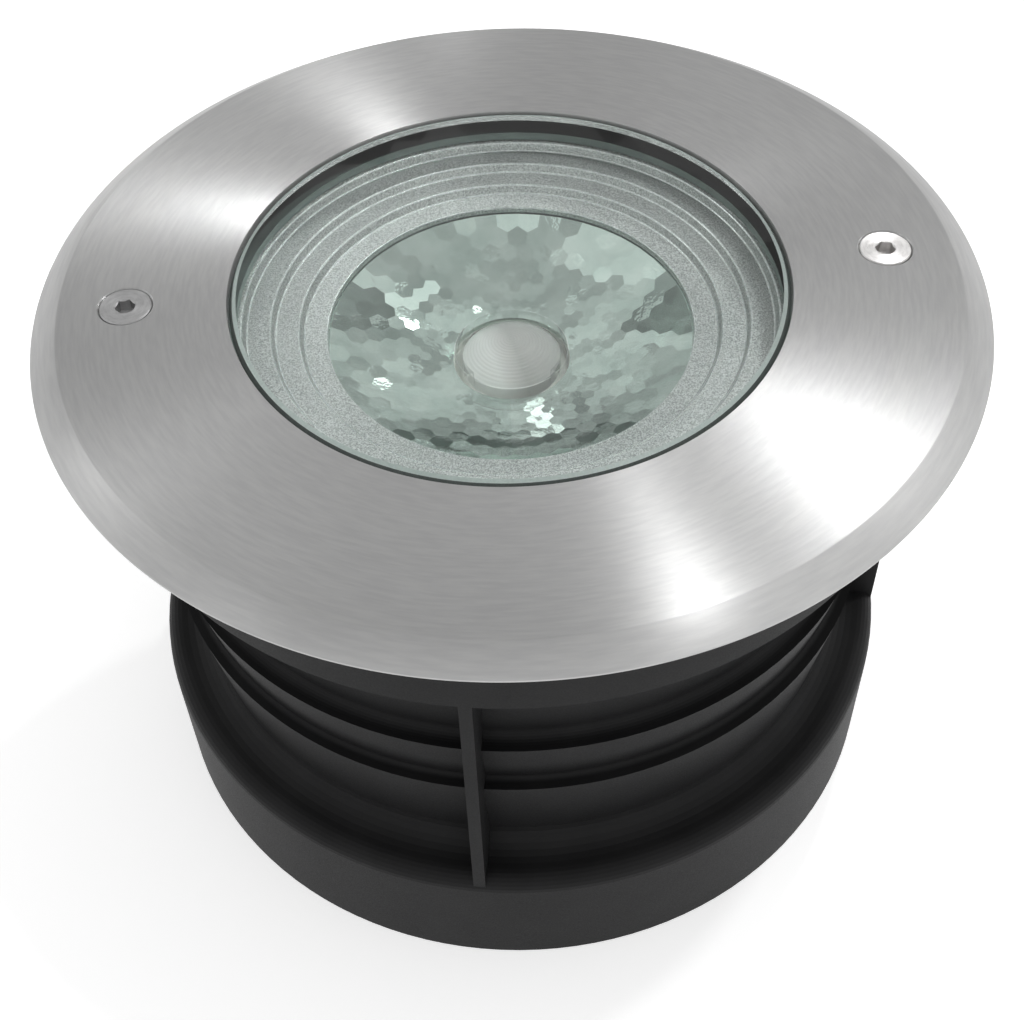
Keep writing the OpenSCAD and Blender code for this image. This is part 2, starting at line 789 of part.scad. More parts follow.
// The heads lie against the underside of the flange
module ring_screws() {
    color("#c8c8ca") around(ring_screw_count, ring_screw_turn)
        translate([ring_screw_r, 0, 2 * flange_z]) mirror([0, 0, 1])
            cap_screw(flange_z, ring_screw_d, ring_screw_head_d, ring_screw_head_h,
                      flange_t + ring_screw_depth - fit_gap);
}

// Driver and leads

module at_bracket_screws() {
    for (x = [-1, 1])
        translate([x * (bracket_reach + bracket_t + bracket_foot_l / 2), 0, 0]) children();
}

module driver() {
    color("#e4e4e0") translate([-driver_l / 2, -driver_w / 2, driver_z])
        cube([driver_l, driver_w, driver_h]);
}

module driver_bracket() {
    span = bracket_reach + bracket_t;
    color("#b4b7b9") difference() {
        union() {
            translate([-span, -bracket_w / 2, bracket_z]) cube([2 * span, bracket_w, bracket_t]);
            for (x = [-1, 1]) {
                translate([x * (bracket_reach + bracket_t / 2) - bracket_t / 2, -bracket_w / 2, bracket_z])
                    cube([bracket_t, bracket_w, plate_z - bracket_z]);
                translate([x * (span + bracket_foot_l / 2) - bracket_foot_l / 2, -bracket_w / 2,
                           plate_z - bracket_t])
                    cube([bracket_foot_l, bracket_w, bracket_t]);
            }
        }
        at_bracket_screws()
            tube(plate_z - bracket_t - cut, bracket_t + 2 * cut, bracket_screw_d + 2 * fit_gap);
    }
}

module bracket_screws() {
    z = plate_z - bracket_t;
    color("#c8c8ca") at_bracket_screws()
        translate([0, 0, 2 * z]) mirror([0, 0, 1])
            cap_screw(z, bracket_screw_d, bracket_screw_head_d, bracket_screw_head_h,
                      bracket_t + bracket_screw_grip);
}

module terminal_block() {
    way = block_l / block_ways;
    color("#dcdcd6") difference() {
        translate([-block_l / 2, block_y - block_w / 2, cable_room]) cube([block_l, block_w, block_h]);
        for (i = [0:block_ways - 1])
            translate([(i + 0.5) * way - block_l / 2, block_y, cable_room + block_h / 2]) {
                rotate([90, 0, 0]) cylinder(h = block_w + 2 * cut, d = block_hole_d, center = true);
                for (y = [-1, 1])
                    translate([0, y * block_w * block_screw_share, 0])
                        cylinder(h = block_h, d = block_hole_d);
            }
    }
}

// A quarter bend in the YZ plane, from angle a0 on
module lead_bend(y, z, a0) {
    translate([0, y, z]) rotate([90, 0, 90]) rotate([0, 0, a0])
        rotate_extrude(angle = 90, $fn = lead_sides)
            translate([lead_bend_r, 0]) circle(d = lead_d);
}

// One lead: out of the holder's edge, down through the plate and back into the driver's side
module lead() {
    top_z = plate_top_z + fit_gap;
    low_z = driver_z + driver_h / 2 + lead_bend_r;
    end_y = driver_w / 2 + fit_gap;
    lead_bend(lead_y - lead_bend_r, top_z, 0);
    translate([0, lead_y, low_z]) cylinder(h = top_z - low_z, d = lead_d, $fn = lead_sides);
    lead_bend(lead_y - lead_bend_r, low_z, 270);
    translate([0, end_y, low_z - lead_bend_r]) rotate([-90, 0, 0])
        cylinder(h = lead_y - lead_bend_r - end_y, d = lead_d, $fn = lead_sides);
}

module led_leads() {
    color("#a33030") at_leads() lead();
}

// Rear cover

module rear_cover() {
    color("#3a3c3f") difference() {
        tube(cover_low_z, cover_t, 2 * lower_wall_r);
        tube(cable_room - seal_h, seal_h + cut, 2 * seal_r + seal_w + 2 * fit_gap,
             2 * seal_r - seal_w - 2 * fit_gap);
        around(cover_screw_count, cover_screw_turn)
            translate([cover_screw_r, 0, 0])
                tube(cover_low_z - cut, cover_t + 2 * cut, cover_screw_d + 2 * fit_gap);
        translate([gland_x, gland_y, 0])
            tube(cover_low_z - cut, cover_t + 2 * cut, gland_d + 2 * fit_gap);
        translate([valve_x, 0, 0])
            tube(cover_low_z - cut, cover_t + 2 * cut, valve_d + 2 * thread_gap);
    }
}

module cover_seal() {
    color("#1c1f1e") tube(cable_room - seal_h, seal_h, 2 * seal_r + seal_w, 2 * seal_r - seal_w);
}

module cover_screws() {
    color("#c8c8ca") around(cover_screw_count, cover_screw_turn)
        translate([cover_screw_r, 0, 2 * cover_low_z]) mirror([0, 0, 1])
            cap_screw(cover_low_z, cover_screw_d, cover_screw_head_d, cover_screw_head_h,
                      cover_t + cover_screw_grip - fit_gap);
}

module breather_valve() {
    color("#202224") translate([valve_x, 0, 0]) difference() {
        union() {
            hexagon(cover_low_z - valve_head_h, valve_head_h, valve_head_d);
            tube(cover_low_z - valve_head_h, valve_head_h + cover_t, valve_d);
        }
        tube(cover_low_z - valve_head_h - cut, valve_head_h, valve_d * socket_share);
    }
}

// Cable gland

module at_gland() {
    translate([gland_x, gland_y, 0]) children();
}

module gland_body() {
    stem_z = gland_flange_z - gland_stem_h;
    top_z = cable_room + locknut_h;
    color("#2b2d2f") at_gland() difference() {
        union() {
            hexagon(gland_flange_z, gland_flange_h, gland_hex);
            tube(gland_flange_z, top_z - gland_flange_z, gland_d);
            tube(stem_z, gland_stem_h + gland_flange_h / 2, gland_stem_d);
        }
        tube(stem_z - cut, top_z - stem_z + 2 * cut, nut_mouth_d);
        tube(stem_z - cut, gland_seal_h - gland_seal_drop + cut, gland_seal_d + 2 * fit_gap);
    }
}

module gland_washer() {
    color("#1c1f1e") at_gland()
        tube(gland_flange_z + gland_flange_h, gland_washer_t, gland_hex, gland_d + 2 * fit_gap);
}

module gland_locknut() {
    color("#2b2d2f") at_gland() difference() {
        hexagon(cable_room, locknut_h, gland_hex + locknut_grow);
        tube(cable_room - cut, locknut_h + 2 * cut, gland_d + 2 * thread_gap);
    }
}

module gland_seal() {
    color("#151617") at_gland()
        tube(gland_flange_z - gland_stem_h - gland_seal_drop, gland_seal_h, gland_seal_d, cable_d);
}

module gland_nut() {
    bore_z = gland_flange_z - gland_stem_h - gland_seal_drop - seat_gap;
    color("#2b2d2f") at_gland() difference() {
        union() {
            hexagon(nut_z + nut_h * nut_cone_share, nut_h * (1 - nut_cone_share), gland_hex);
            translate([0, 0, nut_z])
                cylinder(h = nut_h * nut_cone_share, d1 = gland_stem_d, d2 = gland_hex);
        }
        tube(nut_z - cut, nut_h + 2 * cut, nut_mouth_d);
        tube(bore_z, nut_top_z - bore_z + cut, gland_stem_d + 2 * thread_gap);
    }
}

// Fixing screws

module captive_washer(side) {
    color("#d9d6cc") at_screw(side) tube(washer_z, washer_t, washer_d, screw_d + 2 * thread_gap);
}

module fixing_screw(side) {
    color("#c4c5c7") at_screw(side) difference() {
        union() {
            tube(face_z - screw_land_h, screw_land_h, screw_head_d);
            translate([0, 0, face_z - screw_land_h - screw_cone_h])
                cylinder(h = screw_cone_h, d1 = screw_d, d2 = screw_head_d);
            tube(screw_tip_z, screw_l - screw_land_h - screw_cone_h, screw_d);
        }
        hexagon(face_z - screw_hex_depth, screw_hex_depth + cut, screw_hex);
    }
}

module captive_washer_right() { captive_washer("right"); }
module captive_washer_left() { captive_washer("left"); }
module fixing_screw_right() { fixing_screw("right"); }
module fixing_screw_left() { fixing_screw("left"); }

sleeve();
thread_inserts();
cover_ring();
glass();
glass_gasket();
bezel();
reflector();
lens();
lens_collar();
led_holder();
holder_screws();
led_board();
led_emitter();
heat_plate();
plate_screws();
lamp_body();
ring_screws();
driver();
driver_bracket();
bracket_screws();
terminal_block();
led_leads();
rear_cover();
cover_seal();
cover_screws();
breather_valve();
gland_body();
gland_washer();
gland_locknut();
gland_seal();
gland_nut();
captive_washer_right();
captive_washer_left();
fixing_screw_right();
fixing_screw_left();
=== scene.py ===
import json
import math

import bpy
from mathutils import Matrix, Vector


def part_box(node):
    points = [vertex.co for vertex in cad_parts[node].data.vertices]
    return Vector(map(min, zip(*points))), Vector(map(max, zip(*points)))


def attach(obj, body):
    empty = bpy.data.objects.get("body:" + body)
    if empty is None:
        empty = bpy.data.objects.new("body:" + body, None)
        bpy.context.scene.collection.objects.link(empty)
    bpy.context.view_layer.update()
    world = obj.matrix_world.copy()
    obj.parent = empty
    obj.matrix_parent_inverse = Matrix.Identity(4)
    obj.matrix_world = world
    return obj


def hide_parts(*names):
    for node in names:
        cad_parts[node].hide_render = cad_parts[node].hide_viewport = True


# Round recessed ground light: brushed cover ring, flush glass and facetted reflector over a black sleeve.
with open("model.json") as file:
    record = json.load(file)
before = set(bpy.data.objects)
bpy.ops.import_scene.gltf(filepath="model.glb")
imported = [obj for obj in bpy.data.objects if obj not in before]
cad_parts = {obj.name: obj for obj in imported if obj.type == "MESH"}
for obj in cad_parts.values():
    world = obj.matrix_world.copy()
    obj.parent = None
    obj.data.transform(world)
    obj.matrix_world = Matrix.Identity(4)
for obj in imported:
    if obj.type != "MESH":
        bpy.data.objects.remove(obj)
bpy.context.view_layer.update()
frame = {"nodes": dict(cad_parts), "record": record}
mm = 0.001
print("frame loaded:", len(frame["nodes"]), "nodes")


# camera, as the photo was taken
cameraSet = {
    "place": (0.0, -0.2649, 0.3612),
    "lens": 55.05,      # mm, on a 36 mm sensor
    "turn": -0.26,      # degrees to the right of +Y
    "down": 48.97,
    "roll": -2.07,
}


def addCamera():
    turn, down, roll = (math.radians(cameraSet[k]) for k in ("turn", "down", "roll"))
    ahead = Vector((math.sin(turn) * math.cos(down), math.cos(turn) * math.cos(down), -math.sin(down)))
    side = ahead.cross(Vector((0, 0, 1))).normalized()
    top = side.cross(ahead)
    right = side * math.cos(roll) + top * math.sin(roll)
    up = top * math.cos(roll) - side * math.sin(roll)
    bpy.ops.object.camera_add(location=cameraSet["place"])
    camera = bpy.context.object
    camera.data.lens = cameraSet["lens"]
    camera.data.sensor_width = 36
    camera.data.clip_start = 0.01
    camera.matrix_world = Matrix.Translation(cameraSet["place"]) @ Matrix((
        (right.x, up.x, -ahead.x, 0), (right.y, up.y, -ahead.y, 0), (right.z, up.z, -ahead.z, 0), (0, 0, 0, 1)))
    bpy.context.scene.camera = camera


addCamera()
print("camera set")


# hand tools for the mesh work

def pickNone():
    if bpy.context.mode != "OBJECT":
        bpy.ops.object.mode_set(mode="OBJECT")
    bpy.ops.object.select_all(action="DESELECT")


def pick(piece):
    pickNone()
    piece.select_set(True)
    bpy.context.view_layer.objects.active = piece


# picks the points of the piece in hand for which the test holds, in edit mode
def pickPoints(piece, test):
    bpy.ops.mesh.select_mode(type="VERT")
    bpy.ops.mesh.select_all(action="DESELECT")
    bpy.ops.object.mode_set(mode="OBJECT")
    for point in piece.data.vertices:
        point.select = bool(test(piece.matrix_world @ point.co))
    bpy.ops.object.mode_set(mode="EDIT")


# draws a circle out ring by ring along an outline of (radius, height) in mm
def turned(name, outline, centre=(0, 0), sides=128, ends="joined"):
    pickNone()
    radius, height = outline[0]
    bpy.ops.mesh.primitive_circle_add(vertices=sides, radius=radius * mm,
                                      location=(centre[0] * mm, centre[1] * mm, height * mm))
    piece = bpy.context.object
    piece.name = piece.data.name = name
    bpy.ops.object.transform_apply(location=True)
    bpy.ops.object.mode_set(mode="EDIT")
    bpy.ops.mesh.select_all(action="SELECT")
    rings = list(outline[1:]) + ([outline[0]] if ends == "joined" else [])
    for nextRadius, nextHeight in rings:
        bpy.ops.mesh.extrude_region_move(TRANSFORM_OT_translate={"value": (0, 0, (nextHeight - height) * mm)})
        size = nextRadius / radius
        bpy.ops.transform.resize(value=(size, size, 1),
                                 center_override=(centre[0] * mm, centre[1] * mm, nextHeight * mm))
        radius, height = nextRadius, nextHeight
    if ends == "capped":
        bpy.ops.mesh.edge_face_add()
        firstRadius, firstHeight = outline[0]
        pickPoints(piece, lambda p: abs(p.z - firstHeight * mm) < 1e-6 and abs(
            math.hypot(p.x - centre[0] * mm, p.y - centre[1] * mm) - firstRadius * mm) < 1e-6)
        bpy.ops.mesh.edge_face_add()
    bpy.ops.mesh.select_all(action="SELECT")
    bpy.ops.mesh.remove_doubles(threshold=1e-6)
    bpy.ops.mesh.normals_make_consistent(inside=False)
    bpy.ops.object.mode_set(mode="OBJECT")
    return piece


def soften(piece, width, segments=2, angle=30, finishNumber=-1):
    pick(piece)
    edge = piece.modifiers.new("edges", "BEVEL")
    edge.material = finishNumber
    edge.width = width * mm
    edge.segments = segments
    edge.limit_method = "ANGLE"
    edge.angle_limit = math.radians(angle)
    bpy.ops.object.modifier_apply(modifier="edges")


def carve(piece, tool):
    pick(piece)
    cut = piece.modifiers.new("cut", "BOOLEAN")
    cut.operation = "DIFFERENCE"
    cut.object = tool
    cut.solver = "EXACT"
    bpy.ops.object.modifier_apply(modifier="cut")
    bpy.data.objects.remove(tool)


# a bar with flat sides, such as a hexagon key, that stands on a height in mm
def bar(name, sides, across, low, high, centre=(0, 0), turn=0):
    pickNone()
    bpy.ops.mesh.primitive_cylinder_add(vertices=sides, radius=across / 2 / math.cos(math.pi / sides) * mm,
                                        depth=(high - low) * mm, rotation=(0, 0, math.radians(turn)),
                                        location=(centre[0] * mm, centre[1] * mm, (low + high) / 2 * mm))
    piece = bpy.context.object
    piece.name = piece.data.name = name
    bpy.ops.object.transform_apply(location=True, rotation=True)
    return piece


def smooth(piece, angle=30):
    pick(piece)
    bpy.ops.object.transform_apply(location=True, rotation=True, scale=True)
    bpy.ops.object.shade_smooth_by_angle(angle=math.radians(angle))


# the piece takes a finish, rides on its body and stands for its CAD node
def fit(piece, finish, body, node):
    if finish:
        piece.data.materials.clear()
        piece.data.materials.append(finish)
    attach(piece, body)
    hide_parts(node)


# hand tools for the finishes

def newFinish(name):
    finish = bpy.data.materials.new(name)
    finish.use_nodes = True
    return finish, finish.node_tree, finish.node_tree.nodes["Principled BSDF"]


def addNode(tree, kind, **settings):
    node = tree.nodes.new(kind)
    for key, value in settings.items():
        setattr(node, key, value)
    return node


# noise on the object's own coordinates, with a cell size in mm
def grain(tree, cell, detail=3, vector=None, roughness=0.55):
    noise = addNode(tree, "ShaderNodeTexNoise")
    noise.inputs["Detail"].default_value = detail
    noise.inputs["Roughness"].default_value = roughness
    noise.inputs["Scale"].default_value = 1 / (cell * mm)
    if vector is None:
        vector = addNode(tree, "ShaderNodeTexCoord").outputs["Object"]
    tree.links.new(vector, noise.inputs["Vector"])
    return noise.outputs["Fac"]


# coordinates that run along the radius and round the axis, for turned and brushed faces, and the radius itself
def roundCoordinates(tree, centre=(0, 0), about=0.004):
    place = addNode(tree, "ShaderNodeTexCoord").outputs["Object"]
    moved = addNode(tree, "ShaderNodeMapping")
    moved.inputs["Location"].default_value = (-centre[0] * mm, -centre[1] * mm, 0)
    moved.inputs["Scale"].default_value = (1, 1, 0)
    tree.links.new(place, moved.inputs["Vector"])
    length = addNode(tree, "ShaderNodeVectorMath", operation="LENGTH")
    unit = addNode(tree, "ShaderNodeVectorMath", operation="NORMALIZE")
    tree.links.new(moved.outputs["Vector"], length.inputs[0])
    tree.links.new(moved.outputs["Vector"], unit.inputs[0])
    parts = addNode(tree, "ShaderNodeSeparateXYZ")
    tree.links.new(unit.outputs["Vector"], parts.inputs["Vector"])
    joined = addNode(tree, "ShaderNodeCombineXYZ")
    tree.links.new(length.outputs["Value"], joined.inputs["X"])
    for source, target in (("X", "Y"), ("Y", "Z")):
        times = addNode(tree, "ShaderNodeMath", operation="MULTIPLY")
        times.inputs[1].default_value = about
        tree.links.new(parts.outputs[source], times.inputs[0])
        tree.links.new(times.outputs["Value"], joined.inputs[target])
    return joined.outputs["Vector"], length.outputs["Value"]


def spread(tree, value, low, high, fromLow=0.3, fromHigh=0.7):
    ranged = addNode(tree, "ShaderNodeMapRange")
    for key, number in (("From Min", fromLow), ("From Max", fromHigh), ("To Min", low), ("To Max", high)):
        ranged.inputs[key].default_value = number
    tree.links.new(value, ranged.inputs["Value"])
    return ranged.outputs["Result"]


def blendColours(tree, value, first, second, low=0.35, high=0.65):
    ramp = addNode(tree, "ShaderNodeValToRGB")
    ramp.color_ramp.elements[0].position = low
    ramp.color_ramp.elements[0].color = (*first, 1)
    ramp.color_ramp.elements[1].position = high
    ramp.color_ramp.elements[1].color = (*second, 1)
    tree.links.new(value, ramp.inputs["Fac"])
    return ramp.outputs["Color"]


# bumps of a depth in mm
def relief(tree, shader, value, strength, depth):
    bump = addNode(tree, "ShaderNodeBump")
    bump.inputs["Strength"].default_value = strength
    bump.inputs["Distance"].default_value = depth * mm
    tree.links.new(value, bump.inputs["Height"])
    tree.links.new(bump.outputs["Normal"], shader.inputs["Normal"])


# lets the lamps' light through a clear piece
def letLightThrough(finish, tree, shader, tint):
    clear = addNode(tree, "ShaderNodeBsdfTransparent")
    clear.inputs["Color"].default_value = (*tint, 1)
    rays = addNode(tree, "ShaderNodeLightPath")
    mix = addNode(tree, "ShaderNodeMixShader")
    tree.links.new(rays.outputs["Is Shadow Ray"], mix.inputs["Fac"])
    tree.links.new(shader.outputs["BSDF"], mix.inputs[1])
    tree.links.new(clear.outputs["BSDF"], mix.inputs[2])
    tree.links.new(mix.outputs["Shader"], tree.nodes["Material Output"].inputs["Surface"])


# finishes, with the sizes of grain, lines and bumps in mm

# line is the width of a brush line, arc its length; the lighter bands are wider and longer
ringSteel = {"dark": (0.53, 0.53, 0.53), "bright": (0.58, 0.58, 0.575), "roughness": (0.35, 0.39),
             "anisotropic": 0.97, "line": 0.16, "arc": 3.0, "relief": 0.04}
brushing = {"bandWidth": 5, "bandLength": 3, "harshness": 0.7, "quarterTurn": 0.25, "depth": 0.02}


def brushedSteel(name, look, centre=(0, 0)):
    finish, tree, shader = newFinish(name)
    fine = roundCoordinates(tree, centre, look["arc"] * mm)[0]
    coarse = roundCoordinates(tree, centre, brushing["bandLength"] * look["arc"] * mm)[0]
    lines = grain(tree, look["line"], 4, fine, roughness=brushing["harshness"])
    bands = grain(tree, brushing["bandWidth"] * look["line"], 3, coarse)
    tree.links.new(blendColours(tree, bands, look["dark"], look["bright"]), shader.inputs["Base Color"])
    tree.links.new(spread(tree, lines, *look["roughness"]), shader.inputs["Roughness"])
    shader.inputs["Metallic"].default_value = 1
    shader.inputs["Anisotropic"].default_value = look["anisotropic"]
    shader.inputs["Anisotropic Rotation"].default_value = brushing["quarterTurn"]
    tangent = addNode(tree, "ShaderNodeTangent", direction_type="RADIAL", axis="Z")
    tree.links.new(tangent.outputs["Tangent"], shader.inputs["Tangent"])
    relief(tree, shader, lines, look["relief"], brushing["depth"])
    return finish


glassSet = {"absorb": (0.5, 0.8, 0.7), "density": 6.0, "ior": 1.5, "shade": (0.93, 0.95, 0.94),
            "smear": 14, "smearRoughness": (0.0, 0.012)}


def greenGlass():
    finish, tree, shader = newFinish("greenGlass")
    shader.inputs["Base Color"].default_value = (1, 1, 1, 1)
    shader.inputs["Transmission Weight"].default_value = 1
    shader.inputs["IOR"].default_value = glassSet["ior"]
    smears = grain(tree, glassSet["smear"], 2)
    tree.links.new(spread(tree, smears, *glassSet["smearRoughness"], 0.45, 0.75), shader.inputs["Roughness"])
    letLightThrough(finish, tree, shader, glassSet["shade"])
    absorb = addNode(tree, "ShaderNodeVolumeAbsorption")
    absorb.inputs["Color"].default_value = (*glassSet["absorb"], 1)
    absorb.inputs["Density"].default_value = glassSet["density"]
    tree.links.new(absorb.outputs["Volume"], tree.nodes["Material Output"].inputs["Volume"])
    return finish


# the ground and painted edges of the glass: glow is painted light that stands for the light that gathers in a clear
# edge; the dark rim line is painted shade, and the rim band carries a painted reflection
edgeSet = {"dark": (0.55, 0.68, 0.62), "bright": (0.75, 0.85, 0.8), "roughness": (0.35, 0.55),
           "clear": 0.0, "glow": 0.25}
# the band is a ground chamfer, painted a lighter green-grey as a painted reflection of the glass's side wall
bandReflectionSet = {"dark": (0.40, 0.48, 0.45), "bright": (0.47, 0.55, 0.52), "roughness": (0.3, 0.45),
           "clear": 0.35, "glow": 0.0}
# the dark line is painted shade: a near-black opaque band on the steep rim chamfer that stands for the shaded gap
# between glass and ring
lineShadeSet = {"dark": (0.07, 0.085, 0.08), "bright": (0.1, 0.12, 0.11), "roughness": (0.35, 0.5),
           "clear": 0.0, "glow": 0.0}
grinding = {"grain": 0.5, "relief": 0.2, "depth": 0.05}


def edgeFinish(name, look):
    finish, tree, shader = newFinish(name)
    fine = grain(tree, grinding["grain"], 3)
    tree.links.new(blendColours(tree, fine, look["dark"], look["bright"]), shader.inputs["Base Color"])
    tree.links.new(spread(tree, fine, *look["roughness"]), shader.inputs["Roughness"])
    shader.inputs["Transmission Weight"].default_value = look["clear"]
    shader.inputs["Emission Color"].default_value = (*look["bright"], 1)
    shader.inputs["Emission Strength"].default_value = look["glow"]
    relief(tree, shader, fine, grinding["relief"], grinding["depth"])
    return finish


# bezel: speckled paint on the treads, with painted highlights on the beads of the steps, brighter and glossier than
# the treads
bezelPaintSet = {"dark": (0.28, 0.295, 0.29), "bright": (0.7, 0.72, 0.71), "grain": 0.36, "relief": 1.0,
                 "roughness": (0.28, 0.36), "metallic": 0.75}
bezelHighlightSet = {"dark": (0.6, 0.63, 0.62), "bright": (0.8, 0.83, 0.82), "grain": 0.7, "relief": 0.25,
                "roughness": (0.16, 0.28), "metallic": 0.8}
speckle = {"dark": 0.37, "bright": 0.63, "harshness": 0.6, "depth": 0.12, "cloud": 9}


def bezelPaint(name, look):
    finish, tree, shader = newFinish(name)
    pimples = grain(tree, look["grain"], 2, roughness=speckle["harshness"])
    cloud = grain(tree, speckle["cloud"], 3)
    tree.links.new(blendColours(tree, pimples, look["dark"], look["bright"], speckle["dark"], speckle["bright"]),
                   shader.inputs["Base Color"])
    tree.links.new(spread(tree, cloud, *look["roughness"]), shader.inputs["Roughness"])
    shader.inputs["Metallic"].default_value = look["metallic"]
    relief(tree, shader, pimples, look["relief"], speckle["depth"])
    return finish


mirrorSet = {"tint": (0.64, 0.74, 0.69), "edge": (0.56, 0.67, 0.62), "roughness": (0.015, 0.05), "cloud": 9,
             "ripple": 0.1, "rippleSize": 1.1, "rippleDepth": 0.06}


def facetMirror():
    finish, tree, shader = newFinish("facetMirror")
    cloud = grain(tree, mirrorSet["cloud"], 3)
    tree.links.new(blendColours(tree, cloud, mirrorSet["edge"], mirrorSet["tint"]), shader.inputs["Base Color"])
    tree.links.new(spread(tree, cloud, *mirrorSet["roughness"]), shader.inputs["Roughness"])
    shader.inputs["Metallic"].default_value = 1
    relief(tree, shader, grain(tree, mirrorSet["rippleSize"], 1), mirrorSet["ripple"], mirrorSet["rippleDepth"])
    return finish


# the lens is painted brighter on the side that litSide points to, a painted highlight; rings is the distance of its
# turned rings
lensSet = {"colour": (0.56, 0.55, 0.54), "lit": (1.0, 1.0, 0.99), "litSide": (-100, -35, 0), "litRange": (-0.2, 0.6),
           "clear": 0.3, "roughness": (0.08, 0.15), "rings": 0.7, "relief": 0.5, "ior": 1.49, "alpha": 1}
collarSet = {"colour": (0.95, 0.97, 0.96), "clear": 1.0, "roughness": (0.03, 0.08), "rings": 0.6, "relief": 0.0,
             "ior": 1.05, "alpha": 0.35}
moulding = {"grain": 1.2, "depth": 0.04, "shade": (0.9, 0.92, 0.9)}


# clear or frosted plastic, with fine turned rings where they have a relief
def lensPlastic(name, look):
    finish, tree, shader = newFinish(name)
    shader.inputs["Base Color"].default_value = (*look["colour"], 1)
    # painted light: the colour runs to near white towards litSide
    if "lit" in look:
        side = addNode(tree, "ShaderNodeVectorMath", operation="DOT_PRODUCT")
        side.inputs[1].default_value = look["litSide"]
        tree.links.new(addNode(tree, "ShaderNodeTexCoord").outputs["Object"], side.inputs[0])
        tree.links.new(blendColours(tree, side.outputs["Value"], look["colour"], look["lit"], *look["litRange"]),
                       shader.inputs["Base Color"])
    shader.inputs["Transmission Weight"].default_value = look["clear"]
    shader.inputs["IOR"].default_value = look["ior"]
    shader.inputs["Alpha"].default_value = look["alpha"]
    radius = roundCoordinates(tree)[1]
    wave = addNode(tree, "ShaderNodeMath", operation="SINE")
    times = addNode(tree, "ShaderNodeMath", operation="MULTIPLY")
    times.inputs[1].default_value = 2 * math.pi / (look["rings"] * mm)
    tree.links.new(radius, times.inputs[0])
    tree.links.new(times.outputs["Value"], wave.inputs[0])
    relief(tree, shader, wave.outputs["Value"], look["relief"], moulding["depth"])
    tree.links.new(spread(tree, grain(tree, moulding["grain"]), *look["roughness"]), shader.inputs["Roughness"])
    letLightThrough(finish, tree, shader, moulding["shade"])
    return finish


# a plain finish: two colours in clouds, and a grain that roughness and relief follow
def plainFinish(name, look):
    finish, tree, shader = newFinish(name)
    fine = grain(tree, look["cell"], 4)
    cloud = grain(tree, look.get("cloud", 18), 3)
    tree.links.new(blendColours(tree, cloud, look["dark"], look["bright"]), shader.inputs["Base Color"])
    tree.links.new(spread(tree, fine, *look["roughness"]), shader.inputs["Roughness"])
    shader.inputs["Metallic"].default_value = look.get("metal", 0)
    shader.inputs["Specular IOR Level"].default_value = look.get("shine", 0.5)
    relief(tree, shader, fine, look["relief"], look["cell"] * 0.2)
    return finish


plainLooks = {
    "sleeve_plastic": {"dark": (0.011, 0.011, 0.0115), "bright": (0.015, 0.015, 0.0155), "cell": 0.35,
                       "roughness": (0.45, 0.6), "relief": 0.25, "shine": 0.14},
    "brass": {"dark": (0.6, 0.45, 0.19), "bright": (0.74, 0.58, 0.28), "cell": 0.5, "roughness": (0.22, 0.38),
              "relief": 0.15, "metal": 1},
    "black_rubber": {"dark": (0.016, 0.018, 0.017), "bright": (0.03, 0.033, 0.031), "cell": 0.4,
                     "roughness": (0.45, 0.62), "relief": 0.2},
    # the glass gasket's finish: painted a lighter green-grey than black rubber, as painted light on enclosed walls
    # that the lamps don't reach
    "gasket_painted_light": {"dark": (0.2, 0.255, 0.235), "bright": (0.25, 0.31, 0.29), "cell": 0.4,
                      "roughness": (0.4, 0.55), "relief": 0.15},
    "white_plastic": {"dark": (0.7, 0.7, 0.66), "bright": (0.8, 0.8, 0.77), "cell": 0.6,
                      "roughness": (0.32, 0.45), "relief": 0.1},
    "screw_steel": {"dark": (0.42, 0.42, 0.43), "bright": (0.56, 0.56, 0.56), "cell": 0.3,
                    "roughness": (0.22, 0.36), "relief": 0.12, "metal": 1, "cloud": 3},
    "board_white": {"dark": (0.72, 0.74, 0.74), "bright": (0.82, 0.84, 0.84), "cell": 0.5,
                    "roughness": (0.3, 0.42), "relief": 0.08},
    "emitter_yellow": {"dark": (0.72, 0.5, 0.07), "bright": (0.85, 0.66, 0.16), "cell": 0.35,
                       "roughness": (0.3, 0.5), "relief": 0.3, "cloud": 2},
    "bare_aluminium": {"dark": (0.5, 0.52, 0.53), "bright": (0.66, 0.68, 0.69), "cell": 0.4,
                       "roughness": (0.28, 0.45), "relief": 0.15, "metal": 1},
    "dark_casting": {"dark": (0.036, 0.038, 0.042), "bright": (0.06, 0.063, 0.067), "cell": 0.7,
                     "roughness": (0.42, 0.6), "relief": 0.5, "metal": 0.2},
    "red_lead": {"dark": (0.33, 0.03, 0.03), "bright": (0.44, 0.05, 0.045), "cell": 0.3,
                 "roughness": (0.35, 0.5), "relief": 0.1},
    "gland_plastic": {"dark": (0.018, 0.02, 0.022), "bright": (0.03, 0.032, 0.035), "cell": 0.3,
                      "roughness": (0.35, 0.5), "relief": 0.15},
    "washer_nylon": {"dark": (0.66, 0.65, 0.58), "bright": (0.77, 0.76, 0.7), "cell": 0.4,
                     "roughness": (0.35, 0.5), "relief": 0.1},
}
finishes = {name: plainFinish(name, look) for name, look in plainLooks.items()}
# the glass gasket takes that lightened finish, which is painted light
ownFinish = {"glass_gasket": "gasket_painted_light"}


# every CAD node that stays takes the finish of its slot, or its own
def finishNodes():
    for part in frame["record"]["subparts"]:
        node = frame["nodes"][part["node"]]
        finish = finishes.get(ownFinish.get(part["node"], part["material_slot"]))
        if finish:
            for place in node.material_slots:
                place.material = finish


finishNodes()
print("CAD nodes finished")


